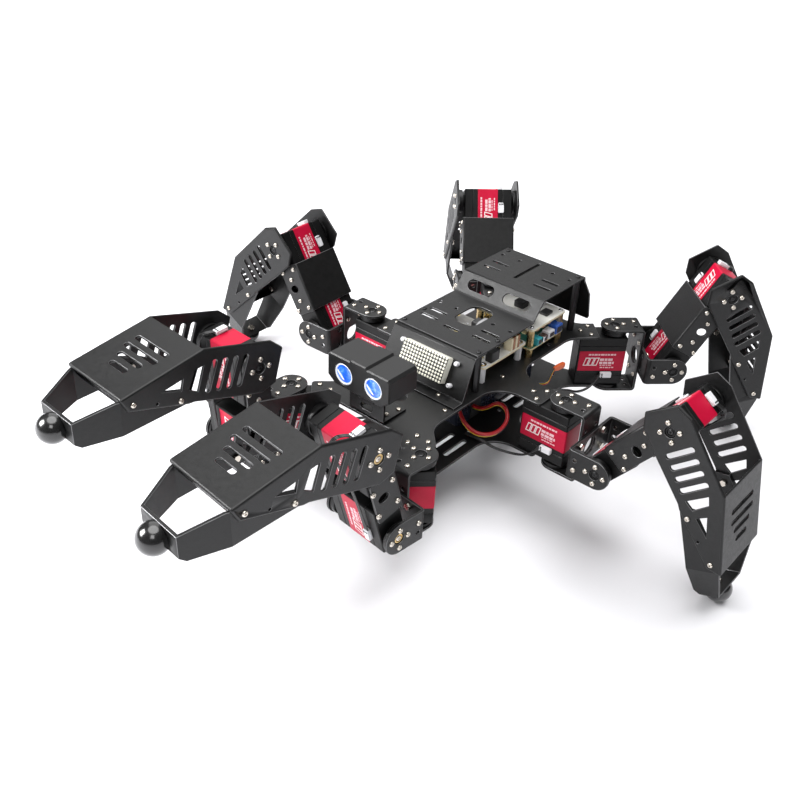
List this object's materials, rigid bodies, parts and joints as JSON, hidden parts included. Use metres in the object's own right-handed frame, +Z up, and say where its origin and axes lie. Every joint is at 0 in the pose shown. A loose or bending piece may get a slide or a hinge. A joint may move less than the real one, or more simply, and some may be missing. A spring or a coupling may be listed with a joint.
{
  "type": "six-legged walking robot kit",
  "caption": "Six-legged walking robot: sheet-metal chassis and legs, three servo joints per leg, ball feet, raised electronics deck, LED matrix and twin-eye range sensor head.",
  "frame": {"origin": "centre of the underside of the bottom chassis plate", "axes": "+X forward towards the head, +Y to the robot's left, +Z up; the standing feet rest at Z = -0.0485 m"},
  "size_m": [0.5793, 0.4986, 0.1794],
  "materials": {
    "black_sheet": "matte black anodised sheet",
    "servo_case": "fine-textured black plastic",
    "battery_wrap": "shrink-wrapped pack",
    "circuit_board": "white solder mask",
    "lead_black": "soft insulation",
    "led_face": "LED block",
    "black_plastic": "satin moulded plastic",
    "sensor_blue": "blue sensor face",
    "screw_steel": "plated screws and discs",
    "black_rubber": "moulded rubber ball"
  },
  "bodies": {
    "chassis": {"bottom_plate": "black_sheet", "top_plate": "black_sheet", "hip_servos": "servo_case", "battery": "battery_wrap", "circuit_boards": "circuit_board", "leads": "lead_black", "deck": "black_sheet", "front_panel": "black_sheet", "led_matrix": "led_face", "head_bracket": "black_sheet", "head_housing": "black_plastic", "head_sensor": "sensor_blue"},
    "left_front_coxa": {"coxa_brackets_lf": "black_sheet", "coxa_horns_lf": "screw_steel"},
    "left_front_femur": {"femur_frame_lf": "black_sheet", "femur_servos_lf": "servo_case"},
    "left_front_tibia": {"knee_horns_lf": "screw_steel", "tibia_shell_lf": "black_sheet", "foot_bracket_lf": "black_sheet", "foot_ball_lf": "black_rubber"},
    "right_front_coxa": {"coxa_brackets_rf": "black_sheet", "coxa_horns_rf": "screw_steel"},
    "right_front_femur": {"femur_frame_rf": "black_sheet", "femur_servos_rf": "servo_case"},
    "right_front_tibia": {"knee_horns_rf": "screw_steel", "tibia_shell_rf": "black_sheet", "foot_bracket_rf": "black_sheet", "foot_ball_rf": "black_rubber"},
    "left_middle_coxa": {"coxa_brackets_lm": "black_sheet", "coxa_horns_lm": "screw_steel"},
    "left_middle_femur": {"femur_frame_lm": "black_sheet", "femur_servos_lm": "servo_case"},
    "left_middle_tibia": {"knee_horns_lm": "screw_steel", "tibia_shell_lm": "black_sheet", "foot_bracket_lm": "black_sheet", "foot_ball_lm": "black_rubber"},
    "right_middle_coxa": {"coxa_brackets_rm": "black_sheet", "coxa_horns_rm": "screw_steel"},
    "right_middle_femur": {"femur_frame_rm": "black_sheet", "femur_servos_rm": "servo_case"},
    "right_middle_tibia": {"knee_horns_rm": "screw_steel", "tibia_shell_rm": "black_sheet", "foot_bracket_rm": "black_sheet", "foot_ball_rm": "black_rubber"},
    "left_rear_coxa": {"coxa_brackets_lr": "black_sheet", "coxa_horns_lr": "screw_steel"},
    "left_rear_femur": {"femur_frame_lr": "black_sheet", "femur_servos_lr": "servo_case"},
    "left_rear_tibia": {"knee_horns_lr": "screw_steel", "tibia_shell_lr": "black_sheet", "foot_bracket_lr": "black_sheet", "foot_ball_lr": "black_rubber"},
    "right_rear_coxa": {"coxa_brackets_rr": "black_sheet", "coxa_horns_rr": "screw_steel"},
    "right_rear_femur": {"femur_frame_rr": "black_sheet", "femur_servos_rr": "servo_case"},
    "right_rear_tibia": {"knee_horns_rr": "screw_steel", "tibia_shell_rr": "black_sheet", "foot_bracket_rr": "black_sheet", "foot_ball_rr": "black_rubber"}
  },
  "joints": [
    {"name": "left_front_yaw", "type": "hinge", "parent": "chassis", "child": "left_front_coxa", "pos_m": [0.12364, 0.06113, 0.02475], "axis": [0, 0, 1], "range_deg": [-6.8, 75.2]},
    {"name": "left_front_lift", "type": "hinge", "parent": "left_front_coxa", "child": "left_front_femur", "pos_m": [0.16901, 0.057, 0.02475], "axis": [-0.0906, -0.9959, 0], "range_deg": [-104.3, 25.7]},
    {"name": "left_front_knee", "type": "hinge", "parent": "left_front_femur", "child": "left_front_tibia", "pos_m": [0.18922, 0.05516, 0.09695], "axis": [-0.0906, -0.9959, 0], "range_deg": [-69.8, 75.2]},
    {"name": "right_front_yaw", "type": "hinge", "parent": "chassis", "child": "right_front_coxa", "pos_m": [0.12364, -0.06113, 0.02475], "axis": [0, 0, 1], "range_deg": [-67.2, 14.8]},
    {"name": "right_front_lift", "type": "hinge", "parent": "right_front_coxa", "child": "right_front_femur", "pos_m": [0.16915, -0.06336, 0.02475], "axis": [-0.0488, -0.9988, 0], "range_deg": [-116.3, 13.7]},
    {"name": "right_front_knee", "type": "hinge", "parent": "right_front_femur", "child": "right_front_tibia", "pos_m": [0.17398, -0.06359, 0.09959], "axis": [-0.0488, -0.9988, 0], "range_deg": [-59.2, 85.8]},
    {"name": "left_middle_yaw", "type": "hinge", "parent": "chassis", "child": "left_middle_coxa", "pos_m": [0, 0.09425, 0.02475], "axis": [0, 0, 1], "range_deg": [-30, 30]},
    {"name": "left_middle_lift", "type": "hinge", "parent": "left_middle_coxa", "child": "left_middle_femur", "pos_m": [0, 0.13981, 0.02475], "axis": [1, 0, 0], "range_deg": [-82.2, 47.8]},
    {"name": "left_middle_knee", "type": "hinge", "parent": "left_middle_femur", "child": "left_middle_tibia", "pos_m": [0, 0.18578, 0.08401], "axis": [1, 0, 0], "range_deg": [-24.3, 120.7]},
    {"name": "right_middle_yaw", "type": "hinge", "parent": "chassis", "child": "right_middle_coxa", "pos_m": [0, -0.09425, 0.02475], "axis": [0, 0, 1], "range_deg": [-31.8, 28.2]},
    {"name": "right_middle_lift", "type": "hinge", "parent": "right_middle_coxa", "child": "right_middle_femur", "pos_m": [0.00143, -0.13979, 0.02475], "axis": [-0.9995, -0.0314, 0], "range_deg": [-88.1, 41.9]},
    {"name": "right_middle_knee", "type": "hinge", "parent": "right_middle_femur", "child": "right_middle_tibia", "pos_m": [0.00268, -0.1794, 0.08842], "axis": [-0.9995, -0.0314, 0], "range_deg": [-26.7, 118.3]},
    {"name": "left_rear_yaw", "type": "hinge", "parent": "chassis", "child": "left_rear_coxa", "pos_m": [-0.12364, 0.06113, 0.02475], "axis": [0, 0, 1], "range_deg": [-25.4, 56.6]},
    {"name": "left_rear_lift", "type": "hinge", "parent": "left_rear_coxa", "child": "left_rear_femur", "pos_m": [-0.15608, 0.09312, 0.02475], "axis": [0.7022, 0.712, 0], "range_deg": [-92.4, 37.6]},
    {"name": "left_rear_knee", "type": "hinge", "parent": "left_rear_femur", "child": "left_rear_tibia", "pos_m": [-0.18082, 0.11752, 0.09122], "axis": [0.7022, 0.712, 0], "range_deg": [-8, 137]},
    {"name": "right_rear_yaw", "type": "hinge", "parent": "chassis", "child": "right_rear_coxa", "pos_m": [-0.12364, -0.06113, 0.02475], "axis": [0, 0, 1], "range_deg": [-56.4, 25.6]},
    {"name": "right_rear_lift", "type": "hinge", "parent": "right_rear_coxa", "child": "right_rear_femur", "pos_m": [-0.15619, -0.09301, 0.02475], "axis": [-0.6997, 0.7145, 0], "range_deg": [-87.6, 42.4]},
    {"name": "right_rear_knee", "type": "hinge", "parent": "right_rear_femur", "child": "right_rear_tibia", "pos_m": [-0.1849, -0.12112, 0.08807], "axis": [-0.6997, 0.7145, 0], "range_deg": [-23.4, 121.6]}
  ]
}
